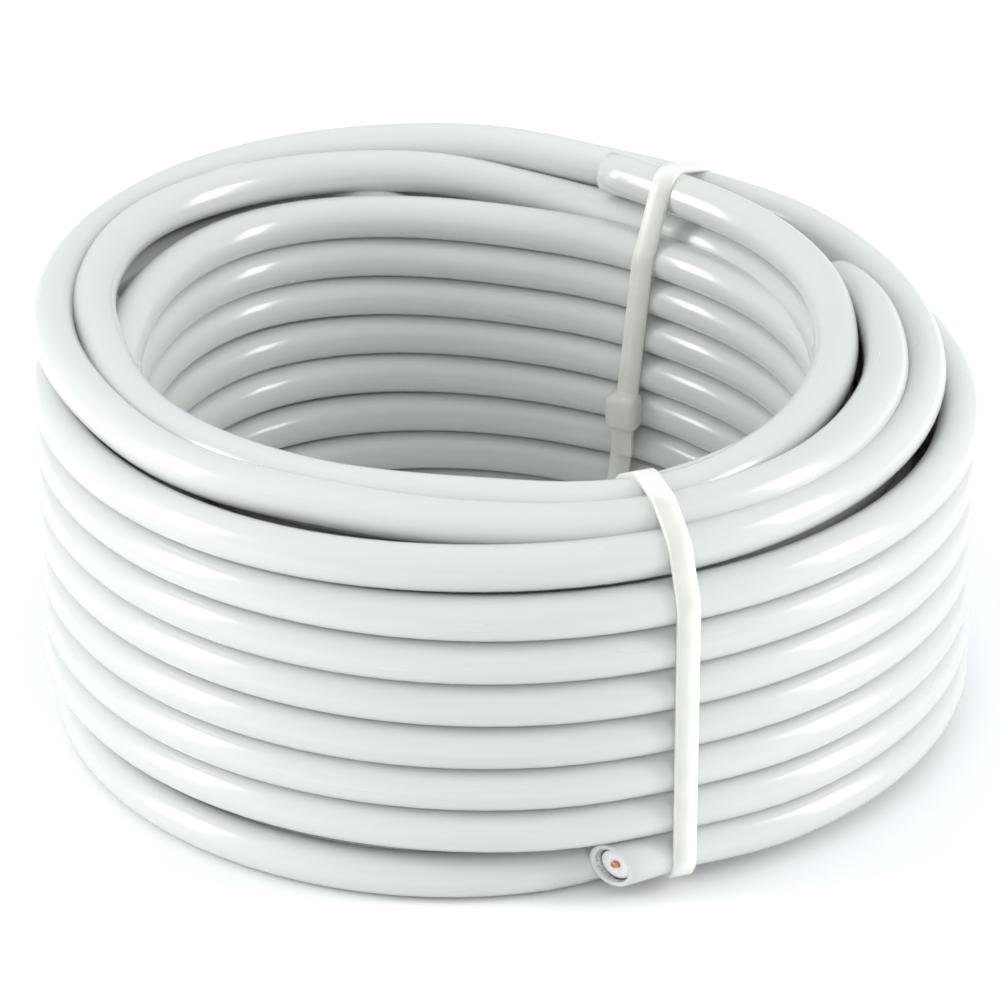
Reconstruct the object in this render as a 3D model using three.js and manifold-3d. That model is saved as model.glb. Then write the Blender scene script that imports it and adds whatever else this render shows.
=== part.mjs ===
// A coil of white coaxial cable, tied in two places and resting on its flat end.
// Millimetres, +Z up. The origin is under the middle of the coil, on the surface it rests on.
// Azimuths are degrees from +X, seen from above. -Y is the front.
import * as THREE from "three";
import { mergeVertices } from "three/addons/utils/BufferGeometryUtils.js";
import Module from "manifold-3d";

const wasm = await Module();
wasm.setup();

// Clearances
const CLEARANCE = 0.3;
const SLEEVE_CLEARANCE = 0.1;
const FOIL_CLEARANCE = 0.15;

// Cable, from the middle outwards
const CONDUCTOR_DIAMETER = 1.0;
const DIELECTRIC_DIAMETER = 4.6;
const SHIELD_WALL = 0.2;
const JACKET_WALL = 0.7;
const SHIELD_INNER = DIELECTRIC_DIAMETER + 2 * FOIL_CLEARANCE;
const SHIELD_OUTER = SHIELD_INNER + 2 * SHIELD_WALL;
const BORE_IN_JACKET = SHIELD_OUTER + 2 * SLEEVE_CLEARANCE;
const CABLE_DIAMETER = BORE_IN_JACKET + 2 * JACKET_WALL;

// Winding
const COIL_DIAMETER = 144;
const WINDING_WALL = 20;
const BORE_SHIFT_X = -4;
const TURN_GAP = 0.1;
const OUTER_ROWS = 8;
const INNER_ROWS = 8;
const OUTER_BASE_RISE = 1.3;

// Top turns: they are pressed a little into the turns under them
const TOP_TURN_BITE = 0.4;
const TOP_TURN_SET_BACK = 1.45;
const TOP_TURN_SHIFT_X = -5.3;
const TOP_TURN_SWEEP = 350;
const TOP_TURN_LEVEL_SHARE = 0.7;
const TOP_TURN_SINK_SHARE = 0.8;
const CROSSING_AZIMUTH = 40;
const CROSSING_DIP = 3;

// Ends of the cable
const TOP_END_AZIMUTH = 72;
const BOTTOM_END_AZIMUTH = -77;
const BOTTOM_END_STANDOUT = 1.8;
const BOTTOM_END_RISE = 1.4;
const BOTTOM_END_SWEEP = 30;
const BOTTOM_END_STRAIGHT_SHARE = 0.3;
const BOTTOM_END_GAP = 9;
const CORE_RECESS = 2.5;
const CORE_LENGTH = 3;

// Ties
const TIE_WIDTH = 3.6;
const TIE_THICKNESS = 1.1;
const TIE_CORNER_RADIUS = 4;
const TIE_HEAD_WIDTH = 6;
const TIE_HEAD_LENGTH = 6.5;
const TIE_HEAD_DEPTH = 4.6;
const TIE_HEAD_BEVEL = 0.8;
const TIE_TAIL_DEPTH_SHARE = 0.65;
const TIE_TAIL_LENGTH = 5;
const FRONT_TIE_AZIMUTH = -68.5;
const BACK_TIE_AZIMUTH = 61;
const TIE_BASE_RISE = 0.2;
const TIE_PINCH = 1;
const FRONT_HEAD_SHARE = 0.45;
const BACK_HEAD_SHARE = 0.36;

// Fineness
const RING_STEPS = 48;
const TUBE_SIDES = 8;
const TUBE_STEP = 7.5;
const END_SIDES = 16;

const CABLE_RADIUS = CABLE_DIAMETER / 2;
const COIL_RADIUS = COIL_DIAMETER / 2;
const BORE_RADIUS = COIL_RADIUS - WINDING_WALL;
const TURN_PITCH = CABLE_DIAMETER + TURN_GAP;
const CREST_HALF = CABLE_RADIUS * Math.tan(Math.PI / TUBE_SIDES);
const GROOVE_REACH = CABLE_RADIUS * 0.47;
const OUTER_TURN_RADIUS = COIL_RADIUS - CABLE_RADIUS;
const INNER_TURN_RADIUS = BORE_RADIUS + CABLE_RADIUS;
const TOP_TURN_RADIUS = INNER_TURN_RADIUS + TOP_TURN_SET_BACK;
const OUTER_ROW_BASE = OUTER_BASE_RISE + CABLE_RADIUS;
const OUTER_ROW_TOP = OUTER_ROW_BASE + (OUTER_ROWS - 1) * TURN_PITCH;
const INNER_ROW_TOP = CABLE_RADIUS + (INNER_ROWS - 1) * TURN_PITCH;
const TOP_TURN_HEIGHT = INNER_ROW_TOP + TURN_PITCH - TOP_TURN_BITE;
const CORE_END_DEPTH = CORE_RECESS + CORE_LENGTH;

const jacketLook = new THREE.MeshStandardMaterial({ color: 0xd6dade, roughness: 0.35, metalness: 0 });
const shieldLook = new THREE.MeshStandardMaterial({ color: 0xa8abad, roughness: 0.4, metalness: 0.9 });
const dielectricLook = new THREE.MeshStandardMaterial({ color: 0xeef0ee, roughness: 0.6, metalness: 0 });
const conductorLook = new THREE.MeshStandardMaterial({ color: 0xb5653a, roughness: 0.35, metalness: 1 });
const tieLook = new THREE.MeshStandardMaterial({ color: 0xdfe0cf, roughness: 0.4, metalness: 0 });

const radians = (degrees) => THREE.MathUtils.degToRad(degrees);

// Closed geometry as a solid that can be joined and cut.
function solid(geometry) {
  const bare = geometry.index ? geometry.toNonIndexed() : geometry.clone();
  bare.deleteAttribute("normal");
  bare.deleteAttribute("uv");
  const merged = mergeVertices(bare, 1e-4);
  const mesh = new wasm.Mesh({
    numProp: 3,
    vertProperties: new Float32Array(merged.attributes.position.array),
    triVerts: new Uint32Array(merged.index.array),
  });
  return new wasm.Manifold(mesh);
}

function geometryOf(body) {
  const mesh = body.getMesh();
  const geometry = new THREE.BufferGeometry();
  geometry.setAttribute("position", new THREE.BufferAttribute(new Float32Array(mesh.vertProperties), 3));
  geometry.setIndex(new THREE.BufferAttribute(new Uint32Array(mesh.triVerts), 1));
  geometry.computeVertexNormals();
  return geometry;
}

function named(name, geometry, look) {
  const mesh = new THREE.Mesh(geometry, look);
  mesh.name = name;
  return mesh;
}

// A point at an azimuth and radius round the coil's axis.
function around(azimuth, radius, height) {
  const a = radians(azimuth);
  return new THREE.Vector3(radius * Math.cos(a), radius * Math.sin(a), height);
}

// Rows of turns seen in section: each row is a crest between two grooves. side is 1 outwards, -1 inwards.
function rowOutline(turnRadius, baseHeight, rows, side) {
  const points = [];
  for (let row = 0; row < rows; row += 1) {
    const height = baseHeight + row * TURN_PITCH;
    points.push(new THREE.Vector2(turnRadius + side * CABLE_RADIUS, height - CREST_HALF));
    points.push(new THREE.Vector2(turnRadius + side * CABLE_RADIUS, height + CREST_HALF));
    if (row < rows - 1) {
      points.push(new THREE.Vector2(turnRadius + side * GROOVE_REACH, height + TURN_PITCH / 2));
    }
  }
  return points;
}

// The bottom of a winding seen in section: one crest for each turn side by side, running outwards.
function bottomOutline(innerTurnRadius, outerTurnRadius, height) {
  const points = [];
  const turns = Math.max(1, Math.round((outerTurnRadius - innerTurnRadius) / CABLE_DIAMETER));
  const step = (outerTurnRadius - innerTurnRadius) / turns;
  for (let turn = 0; turn <= turns; turn += 1) {
    const radius = innerTurnRadius + turn * step;
    points.push(new THREE.Vector2(radius - CREST_HALF, height - CABLE_RADIUS));
    points.push(new THREE.Vector2(radius + CREST_HALF, height - CABLE_RADIUS));
    if (turn < turns) {
      points.push(new THREE.Vector2(radius + step / 2, height - GROOVE_REACH));
    }
  }
  return points;
}

// The top of a winding, which the top turns lie on, running outwards.
function topOutline(innerTurnRadius, outerTurnRadius, height) {
  return [
    new THREE.Vector2(innerTurnRadius - CREST_HALF, height + CABLE_RADIUS),
    new THREE.Vector2(outerTurnRadius + CREST_HALF, height + CABLE_RADIUS),
  ];
}

// A closed section turned round a vertical axis.
function turned(outline, shiftX) {
  const geometry = new THREE.LatheGeometry([...outline, outline[0]], RING_STEPS);
  geometry.rotateX(Math.PI / 2);
  geometry.translate(shiftX, 0, 0);
  return solid(geometry);
}

function outerWinding() {
  const innerTurnRadius = INNER_TURN_RADIUS - BORE_SHIFT_X - TURN_GAP;
  const wall = rowOutline(OUTER_TURN_RADIUS, OUTER_ROW_BASE, OUTER_ROWS, 1);
  const bottom = bottomOutline(innerTurnRadius, OUTER_TURN_RADIUS, OUTER_ROW_BASE);
  const top = topOutline(innerTurnRadius, OUTER_TURN_RADIUS, OUTER_ROW_TOP);
  return turned([...bottom, ...wall, ...top.reverse()], 0);
}

function innerWinding() {
  const outerTurnRadius = INNER_TURN_RADIUS + CABLE_DIAMETER;
  const wall = rowOutline(INNER_TURN_RADIUS, CABLE_RADIUS, INNER_ROWS, -1);
  const bottom = bottomOutline(INNER_TURN_RADIUS, outerTurnRadius, CABLE_RADIUS);
  const top = topOutline(INNER_TURN_RADIUS, outerTurnRadius, INNER_ROW_TOP);
  return turned([...bottom, ...top.reverse(), ...wall.reverse()], BORE_SHIFT_X);
}

// A plain round tube through the given points.
function tube(points, diameter) {
  const path = new THREE.CatmullRomCurve3(points);
  const section = new THREE.Shape();
  section.absarc(0, 0, diameter / 2, 0, 2 * Math.PI, false);
  const steps = points.length - 1;
  const options = { steps, curveSegments: TUBE_SIDES / 2, bevelEnabled: false, extrudePath: path };
  return solid(new THREE.ExtrudeGeometry(section, options));
}

// The highest turn, which starts at the top cut end and sinks into the inner winding after one turn.
function topTurn() {
  const points = [];
  for (let travelled = 0; travelled <= TOP_TURN_SWEEP; travelled += TUBE_STEP) {
    const late = THREE.MathUtils.inverseLerp(TOP_TURN_LEVEL_SHARE, 1, travelled / TOP_TURN_SWEEP);
    const height = TOP_TURN_HEIGHT - Math.max(0, late) * TURN_PITCH * TOP_TURN_SINK_SHARE;
    const point = around(TOP_END_AZIMUTH - travelled, TOP_TURN_RADIUS, height);
    point.x += TOP_TURN_SHIFT_X;
    points.push(point);
  }
  return tube(points, CABLE_DIAMETER);
}

// The turn that comes up from inside at the back right and crosses the top to the outer edge.
// across is 0 on the inner turns and 1 on the outer turns.
function crossingTurn() {
  const stations = [
    { at: 0, across: 0.15, height: OUTER_ROW_TOP },
    { at: 40, across: 0.22, height: TOP_TURN_HEIGHT },
    { at: 130, across: 0.64, height: TOP_TURN_HEIGHT },
    { at: 220, across: 1, height: TOP_TURN_HEIGHT },
    { at: 310, across: 1, height: TOP_TURN_HEIGHT - CROSSING_DIP / 3 },
    { at: 400, across: 0.7, height: TOP_TURN_HEIGHT - CROSSING_DIP },
    { at: 480, across: 1, height: OUTER_ROW_TOP },
  ];
  const sweep = stations[stations.length - 1].at;
  const points = [];
  for (let travelled = 0; travelled <= sweep; travelled += TUBE_STEP) {
    const next = stations.findIndex((station) => station.at >= travelled && station.at > 0);
    const from = stations[next - 1];
    const to = stations[next];
    const share = THREE.MathUtils.smoothstep(travelled, from.at, to.at);
    const across = THREE.MathUtils.lerp(from.across, to.across, share);
    const radius = THREE.MathUtils.lerp(INNER_TURN_RADIUS, OUTER_TURN_RADIUS, across);
    const height = THREE.MathUtils.lerp(from.height, to.height, share);
    points.push(around(CROSSING_AZIMUTH - travelled, radius, height));
  }
  return tube(points, CABLE_DIAMETER);
}

// Where the cable's bottom end lies: it stands out of the outer wall and runs back into it.
function bottomEndPoint(travelled) {
  const straight = BOTTOM_END_SWEEP * BOTTOM_END_STRAIGHT_SHARE;
  const share = THREE.MathUtils.smoothstep(travelled, straight, BOTTOM_END_SWEEP);
  const radius = OUTER_TURN_RADIUS + BOTTOM_END_STANDOUT * (1 - share);
  const height = OUTER_ROW_BASE + BOTTOM_END_RISE * (1 - share);
  return around(BOTTOM_END_AZIMUTH + travelled, radius, height);
}

function bottomEnd() {
  const points = [];
  for (let travelled = 0; travelled <= BOTTOM_END_SWEEP; travelled += TUBE_STEP / 2) {
    points.push(bottomEndPoint(travelled));
  }
  return tube(points, CABLE_DIAMETER);
}

// A round bar or sleeve along the cable at its bottom end. Depths are measured in from the cut face.
function endPiece(outerDiameter, innerDiameter, fromDepth, toDepth) {
  const section = new THREE.Shape();
  section.absarc(0, 0, outerDiameter / 2, 0, 2 * Math.PI, false);
  if (innerDiameter > 0) {
    const hole = new THREE.Path();
    hole.absarc(0, 0, innerDiameter / 2, 0, 2 * Math.PI, true);
    section.holes.push(hole);
  }
  const options = { depth: toDepth - fromDepth, curveSegments: END_SIDES / 2, bevelEnabled: false };
  const geometry = new THREE.ExtrudeGeometry(section, options);
  geometry.translate(0, 0, fromDepth);
  const face = bottomEndPoint(0);
  const inwards = around(BOTTOM_END_AZIMUTH + 90, 1, 0);
  geometry.applyQuaternion(new THREE.Quaternion().setFromUnitVectors(new THREE.Vector3(0, 0, 1), inwards));
  geometry.translate(face.x, face.y, face.z);
  return geometry;
}

// Radius from the coil's axis at which the bore's wall stands, at an azimuth.
function boreRadiusAt(azimuth) {
  const along = BORE_SHIFT_X * Math.cos(radians(azimuth));
  return along + Math.sqrt(BORE_RADIUS ** 2 - BORE_SHIFT_X ** 2 + along ** 2);
}

// Corners of a tie's inside face, in radius and height, anticlockwise from the bottom of the bore.
function tieCorners(azimuth, outerLow) {
  const inner = boreRadiusAt(azimuth) + TIE_PINCH;
  const outer = COIL_RADIUS - TIE_PINCH;
  const low = TIE_BASE_RISE + TIE_THICKNESS;
  const high = TOP_TURN_HEIGHT + CABLE_RADIUS - TIE_PINCH;
  const shoulder = OUTER_ROW_TOP + CABLE_RADIUS - TIE_PINCH;
  return [
    new THREE.Vector2(inner, low),
    new THREE.Vector2(outerLow - CABLE_RADIUS, low),
    new THREE.Vector2(outerLow, low + CABLE_RADIUS),
    new THREE.Vector2(outer, shoulder - CABLE_RADIUS),
    new THREE.Vector2(outer - CABLE_DIAMETER, high),
    new THREE.Vector2(inner, high),
  ];
}

// The same corners with each side moved outwards by a distance.
function offsetCorners(corners, distance) {
  const count = corners.length;
  const sides = corners.map((corner, i) => {
    const next = corners[(i + 1) % count];
    const along = next.clone().sub(corner).normalize();
    const out = new THREE.Vector2(along.y, -along.x);
    return { start: corner.clone().addScaledVector(out, distance), along };
  });
  return sides.map((side, i) => {
    const before = sides[(i + count - 1) % count];
    const across = before.along.x * side.along.y - before.along.y * side.along.x;
    const gap = side.start.clone().sub(before.start);
    const reach = (gap.x * side.along.y - gap.y * side.along.x) / across;
    return before.start.clone().addScaledVector(before.along, reach);
  });
}

// A closed path through corners, each rounded off.
function roundedPath(path, corners, radius) {
  corners.forEach((corner, i) => {
    const before = corners[(i + corners.length - 1) % corners.length];
    const after = corners[(i + 1) % corners.length];
    const cut = Math.min(radius, corner.distanceTo(before) / 2, corner.distanceTo(after) / 2);
    const enter = corner.clone().add(before.clone().sub(corner).setLength(cut));
    const leave = corner.clone().add(after.clone().sub(corner).setLength(cut));
    if (i === 0) {
      path.moveTo(enter.x, enter.y);
    } else {
      path.lineTo(enter.x, enter.y);
    }
    path.quadraticCurveTo(corner.x, corner.y, leave.x, leave.y);
  });
  path.closePath();
  return path;
}

// Gives a section drawn in radius and height a width along the coil, at an azimuth.
function standAt(shape, width, azimuth) {
  const options = { depth: width, curveSegments: 4, bevelEnabled: false };
  const geometry = new THREE.ExtrudeGeometry(shape, options);
  geometry.translate(0, 0, -width / 2);
  geometry.rotateX(Math.PI / 2);
  geometry.rotateZ(radians(azimuth));
  return geometry;
}

function tieHead(azimuth, headHeight) {
  const wall = boreRadiusAt(azimuth) + TIE_PINCH;
  const half = TIE_HEAD_LENGTH / 2;
  const bevel = TIE_HEAD_BEVEL;
  const shape = new THREE.Shape();
  shape.moveTo(wall, headHeight - half);
  shape.lineTo(wall, headHeight + half);
  shape.lineTo(wall - TIE_HEAD_DEPTH + bevel, headHeight + half);
  shape.lineTo(wall - TIE_HEAD_DEPTH, headHeight + half - bevel);
  shape.lineTo(wall - TIE_HEAD_DEPTH, headHeight - half + bevel);
  shape.lineTo(wall - TIE_HEAD_DEPTH + bevel, headHeight - half);
  const head = solid(standAt(shape, TIE_HEAD_WIDTH, azimuth));
  const tail = new THREE.Shape();
  const tailInner = wall - TIE_HEAD_DEPTH * TIE_TAIL_DEPTH_SHARE;
  tail.moveTo(tailInner, headHeight);
  tail.lineTo(tailInner + TIE_THICKNESS, headHeight);
  tail.lineTo(tailInner + TIE_THICKNESS, headHeight + half + TIE_TAIL_LENGTH);
  tail.lineTo(tailInner, headHeight + half + TIE_TAIL_LENGTH);
  return head.add(solid(standAt(tail, TIE_WIDTH, azimuth)));
}

// A tie: its strap round all the turns, with the head in the bore.
function tie(azimuth, outerLow, headHeight) {
  const inside = tieCorners(azimuth, outerLow);
  const outside = offsetCorners(inside, TIE_THICKNESS);
  const shape = roundedPath(new THREE.Shape(), outside, TIE_CORNER_RADIUS + TIE_THICKNESS);
  shape.holes.push(roundedPath(new THREE.Path(), inside, TIE_CORNER_RADIUS));
  return solid(standAt(shape, TIE_WIDTH, azimuth)).add(tieHead(azimuth, headHeight));
}

// The room that a tie's strap takes out of the turns it is pulled into.
function tieRoom(azimuth, outerLow) {
  const held = offsetCorners(tieCorners(azimuth, outerLow), -CLEARANCE);
  const outside = offsetCorners(tieCorners(azimuth, outerLow), CABLE_DIAMETER);
  const shape = new THREE.Shape(outside);
  shape.holes.push(roundedPath(new THREE.Path(), held, TIE_CORNER_RADIUS - CLEARANCE));
  return solid(standAt(shape, TIE_WIDTH + 2 * CLEARANCE, azimuth));
}

// The room that a tie's head takes out of the bore's wall.
function tieHeadRoom(azimuth, headHeight) {
  const wall = boreRadiusAt(azimuth) + TIE_PINCH;
  const length = TIE_HEAD_LENGTH + 2 * CLEARANCE;
  const depth = TIE_HEAD_DEPTH + CLEARANCE;
  const block = new THREE.BoxGeometry(depth, TIE_HEAD_WIDTH + 2 * CLEARANCE, length);
  block.translate(wall + CLEARANCE - depth / 2, 0, headHeight);
  block.rotateZ(radians(azimuth));
  return solid(block);
}

const FRONT_TIE_LOW = COIL_RADIUS + BOTTOM_END_STANDOUT - TIE_PINCH;
const BACK_TIE_LOW = COIL_RADIUS - TIE_PINCH;
const FRONT_HEAD_HEIGHT = FRONT_HEAD_SHARE * TOP_TURN_HEIGHT;
const BACK_HEAD_HEIGHT = BACK_HEAD_SHARE * TOP_TURN_HEIGHT;

function cableCoil() {
  const endGap = solid(endPiece(CABLE_DIAMETER + 2 * CLEARANCE, 0, -BOTTOM_END_GAP, 0));
  const endBore = solid(endPiece(BORE_IN_JACKET, 0, -CLEARANCE, CORE_END_DEPTH + CLEARANCE));
  return outerWinding()
    .subtract(endGap)
    .add(innerWinding())
    .add(topTurn())
    .add(crossingTurn())
    .add(bottomEnd())
    .subtract(endBore)
    .subtract(tieRoom(FRONT_TIE_AZIMUTH, FRONT_TIE_LOW))
    .subtract(tieRoom(BACK_TIE_AZIMUTH, BACK_TIE_LOW))
    .subtract(tieHeadRoom(FRONT_TIE_AZIMUTH, FRONT_HEAD_HEIGHT))
    .subtract(tieHeadRoom(BACK_TIE_AZIMUTH, BACK_HEAD_HEIGHT));
}

const coil = new THREE.Group();
const conductorHole = CONDUCTOR_DIAMETER + 2 * SLEEVE_CLEARANCE;
coil.add(
  named("cable_coil", geometryOf(cableCoil()), jacketLook),
  named("shield", endPiece(SHIELD_OUTER, SHIELD_INNER, CORE_RECESS / 2, CORE_END_DEPTH), shieldLook),
  named("dielectric", endPiece(DIELECTRIC_DIAMETER, conductorHole, CORE_RECESS, CORE_END_DEPTH), dielectricLook),
  named("conductor", endPiece(CONDUCTOR_DIAMETER, 0, CORE_RECESS - CLEARANCE, CORE_END_DEPTH), conductorLook),
  named("tie_front", geometryOf(tie(FRONT_TIE_AZIMUTH, FRONT_TIE_LOW, FRONT_HEAD_HEIGHT)), tieLook),
  named("tie_back", geometryOf(tie(BACK_TIE_AZIMUTH, BACK_TIE_LOW, BACK_HEAD_HEIGHT)), tieLook),
);

// The origin goes under the middle of the whole coil.
const extent = new THREE.Box3().setFromObject(coil);
coil.position.set(-(extent.min.x + extent.max.x) / 2, -(extent.min.y + extent.max.y) / 2, -extent.min.z);

export default coil;
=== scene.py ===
"""Coaxial cable coil: one length of white cable wound in three layers, its two cut ends and its two ties.

The frame holds the coil's solids. This add-on dresses them: every turn of the cable, the layers that show
in the cut ends, the nylon ties, and the studio. Metres, +Z up, -Y is the front. Azimuths are degrees from
+X, seen from above. The cable runs clockwise from its top end.
"""
import math

import bmesh
import bpy
import numpy as np
from bpy.props import FloatProperty, FloatVectorProperty, PointerProperty
from mathutils import Matrix, Vector, noise


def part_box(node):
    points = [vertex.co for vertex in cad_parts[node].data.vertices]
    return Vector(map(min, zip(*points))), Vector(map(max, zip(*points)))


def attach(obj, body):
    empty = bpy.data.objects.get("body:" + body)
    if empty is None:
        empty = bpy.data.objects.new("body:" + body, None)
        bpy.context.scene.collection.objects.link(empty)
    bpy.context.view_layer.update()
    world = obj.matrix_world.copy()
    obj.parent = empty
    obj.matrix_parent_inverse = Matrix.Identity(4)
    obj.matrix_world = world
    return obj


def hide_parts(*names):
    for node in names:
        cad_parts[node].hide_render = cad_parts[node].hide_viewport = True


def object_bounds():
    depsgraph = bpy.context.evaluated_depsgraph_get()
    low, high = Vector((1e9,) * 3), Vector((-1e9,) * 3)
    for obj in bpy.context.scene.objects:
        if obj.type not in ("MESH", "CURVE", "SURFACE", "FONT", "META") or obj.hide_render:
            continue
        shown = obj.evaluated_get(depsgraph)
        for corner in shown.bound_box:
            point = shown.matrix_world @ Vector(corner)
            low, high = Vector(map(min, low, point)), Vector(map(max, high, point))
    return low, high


bl_info = {
    "name": "Coaxial cable coil",
    "version": (1, 0, 0),
    "blender": (4, 5, 0),
    "location": "3D View > Sidebar > Cable Coil",
    "description": "Winds a coaxial cable into a tied coil with open cut ends",
    "category": "Add Mesh",
}

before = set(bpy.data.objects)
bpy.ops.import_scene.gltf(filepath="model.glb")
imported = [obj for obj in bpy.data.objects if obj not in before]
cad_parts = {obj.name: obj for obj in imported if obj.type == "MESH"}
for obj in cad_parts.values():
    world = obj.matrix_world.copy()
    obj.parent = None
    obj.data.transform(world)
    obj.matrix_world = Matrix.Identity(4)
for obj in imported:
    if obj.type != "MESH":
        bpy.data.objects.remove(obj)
CAD_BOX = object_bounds()
BODY = "root"

# The winding: where the turns lie, measured from the coil's axis
FULL_TURN = 360
STEPS_PER_TURN = 96
TURN_STEP = FULL_TURN / STEPS_PER_TURN
CABLE_SIDES = 24
ROUND_SIDES = 48

# Travelled degrees count from this azimuth, and the top end is cut off a little after it
TOP_END_AZIMUTH = 75
TOP_END_START = 2

# Height of the turn on the floor, and of one row above the next
FLOOR_ROW = 0.00345
INNER_ROW_PITCH = 0.0069
OUTER_ROW_PITCH = 0.0071

# Degrees travelled from the top end, radius, height
TOP_TURN = (
    (0, 0.0600, 0.0614),
    (15, 0.0562, 0.0611),
    (30, 0.0548, 0.0606),
    (50, 0.0532, 0.0600),
    (75, 0.0514, 0.0597),
    (100, 0.0528, 0.0597),
    (120, 0.0551, 0.0590),
    (138, 0.0572, 0.0584),
    (152, 0.0572, 0.0589),
    (168, 0.0561, 0.0596),
    (195, 0.0573, 0.0597),
    (225, 0.0597, 0.0597),
    (250, 0.0612, 0.0600),
    (270, 0.0656, 0.0604),
    (290, 0.0691, 0.0607),
    (305, 0.0682, 0.0604),
    (320, 0.0665, 0.0595),
    (335, 0.0651, 0.0578),
    (350, 0.0633, 0.0546),
    (365, 0.0592, 0.0535),
    (385, 0.0568, 0.0531),
    (410, 0.0529, 0.0529),
    (435, 0.0511, 0.0527),
)
TOP_TURN_SWEEP = 435

# The inner column falls half of each turn evenly and half in a step at the back
INNER_STEP_HALF = 46
INNER_STEP_LEAD = 3
INNER_STEP_SHARE = 0.5
INNER_FIRST_STEP = 701
INNER_FIRST_HEIGHT = 0.0528
INNER_COLUMN_END = 3221

# The bore's wall leans outwards at the back left, most at the top
FLARE_AZIMUTH = 130
FLARE_HALF = 47
FLARE = 0.0052
FLARE_FOOT = 0.006
FLARE_TOP = 0.046

# The floor turn: degrees travelled since the inner column ends, radius, height
FLOOR_TURN = (
    (0, 0.0546, 0.0039),
    (49, 0.0577, FLOOR_ROW),
    (94, 0.0600, FLOOR_ROW),
    (150, 0.0655, FLOOR_ROW),
    (171, 0.0668, FLOOR_ROW),
    (190, 0.0690, FLOOR_ROW),
    (205, 0.0700, FLOOR_ROW),
    (235, 0.0697, FLOOR_ROW),
    (274, 0.0665, FLOOR_ROW),
    (320, 0.0632, FLOOR_ROW),
    (360, 0.0620, FLOOR_ROW),
    (409, 0.0618, 0.0089),
)
FLOOR_TURN_SWEEP = 409
MIDDLE_TURNS = 6
MIDDLE_SHORTFALL = 5

# The last hidden turn rises behind the top row at the back left
RISE_AZIMUTH = 140
RISE_HALF = 65
RISE = 0.0026

# The turn that crosses the top: degrees travelled since it comes up at the back right, radius, height
CROSSING_TURN = (
    (-60, 0.0608, 0.0508),
    (0, 0.0597, 0.0534),
    (30, 0.0590, 0.0572),
    (50, 0.0586, 0.0588),
    (70, 0.0602, 0.0592),
    (95, 0.0620, 0.0583),
    (118, 0.0620, 0.0579),
    (145, 0.0612, 0.0586),
    (165, 0.0612, 0.0590),
    (185, 0.0639, 0.0592),
    (210, 0.0658, 0.0596),
    (235, 0.0699, 0.0600),
    (260, 0.0736, 0.0602),
    (285, 0.0752, 0.0602),
    (305, 0.0724, 0.0604),
    (318, 0.0700, 0.0602),
    (335, 0.0660, 0.0590),
    (350, 0.0654, 0.0580),
    (365, 0.0664, 0.0570),
    (385, 0.0657, 0.0561),
    (410, 0.0650, 0.0553),
    (440, 0.0651, 0.0549),
    (470, 0.0661, 0.0548),
    (500, 0.0672, 0.0546),
    (530, 0.0686, 0.0541),
    (560, 0.0692, 0.0536),
)
CROSSING_SWEEP = 560
OUTER_COLUMN_TURNS = 6.803

# The bottom end turns out of the winding
STUB_SWEEP = 14
STUB_STANDOUT = 0.0018

# The outer turns bulge at the front right, most at the top
BULGE_AZIMUTH = -22
BULGE_HALF = 55
BULGE = 0.0018
BULGE_FOOT_SHARE = 0.6

# How freely a turn gives way where two would lie in each other: not at all at 0, most at 1
FLOOR_FREEDOM = 0.3
MIDDLE_FREEDOM = 1
LEAD_IN_FREEDOM = 0.5
LEAD_IN_SWEEP = 25
SETTLE_ROUNDS = 160
SETTLE_PUSH = 0.6
SETTLE_SMOOTHING = 0.25

# The slight sway of each turn, from smooth noise along the cable
SWAY_PER_DEGREE = 0.021
SWAY_ROW = 3.7
SWAY_LIFT_ROW = 9.1

# The lowest turns rise over the ties
TIE_REACH = 17
TIE_LIFT = 0.0011
TIE_LIFT_TOP = 0.030

# The straps and their heads
STRAP_ARC_STEP = 9
STRAP_STEP = 0.0007
STRAP_BITE = 0.0002
STRAP_EDGE_SHARE = 0.25
HEAD_LENGTH = 0.0062
HEAD_BREADTH = 0.0056
HEAD_DEPTH = 0.0044
HEAD_ROUNDING = 0.3
HEAD_FROM_WALL = 0.0014
TAIL_LENGTH = 0.0052
TAIL_DROP = 0.002
TAIL_SINK_SHARE = 0.12

# The cut ends
EDGE_ROUNDING = 0.00012
HOLLOW_BEHIND_CORE = 0.003
CORE_LENGTH = 0.0028
BRAID_CLEARANCE = 0.00003
BRAID_INSET = 0.00022
BRAID_TIP_INSET = 0.00018
BRAID_RECESS_SHARE = 0.40
BRAID_OUTER_SHARE = 0.45
BRAID_INNER_SHARE = 0.5
WIRE_HOLE_DEPTH = 0.0002
WIRE_HOLE_CLEARANCE = 0.00008
WIRE_HOLE_LIP = 0.00025
WIRE_HOLE_LIP_DEPTH = 0.00003
WIRE_ROOT = 0.00022
WIRE_STANDOUT = 0.00035
WIRE_TIP_STANDOUT = 0.00045
WIRE_MIDDLE_STANDOUT = 0.0004

# The room's light near the floor and overhead
ROOM_LOW = (0.72, 0.76, 0.80)
ROOM_HIGH = (0.98, 1.01, 1.05)
ROOM_TOP = 0.8

# The softboxes stand left and right of the coil
SOFTBOX_OUT = 1.20
SOFTBOX_FRONT = -0.20
SOFTBOX_HEIGHT = 0.42
SOFTBOX_SIZE = (0.34, 0.9)
LEFT_POWER = 9.0
RIGHT_POWER = 8.0
LIGHT_AIM = (0, 0, 0.03)

# The floor reaches this far each way and lies a hair under the coil
FLOOR_HALF = 6.0
FLOOR_DROP = 0.0001


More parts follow.
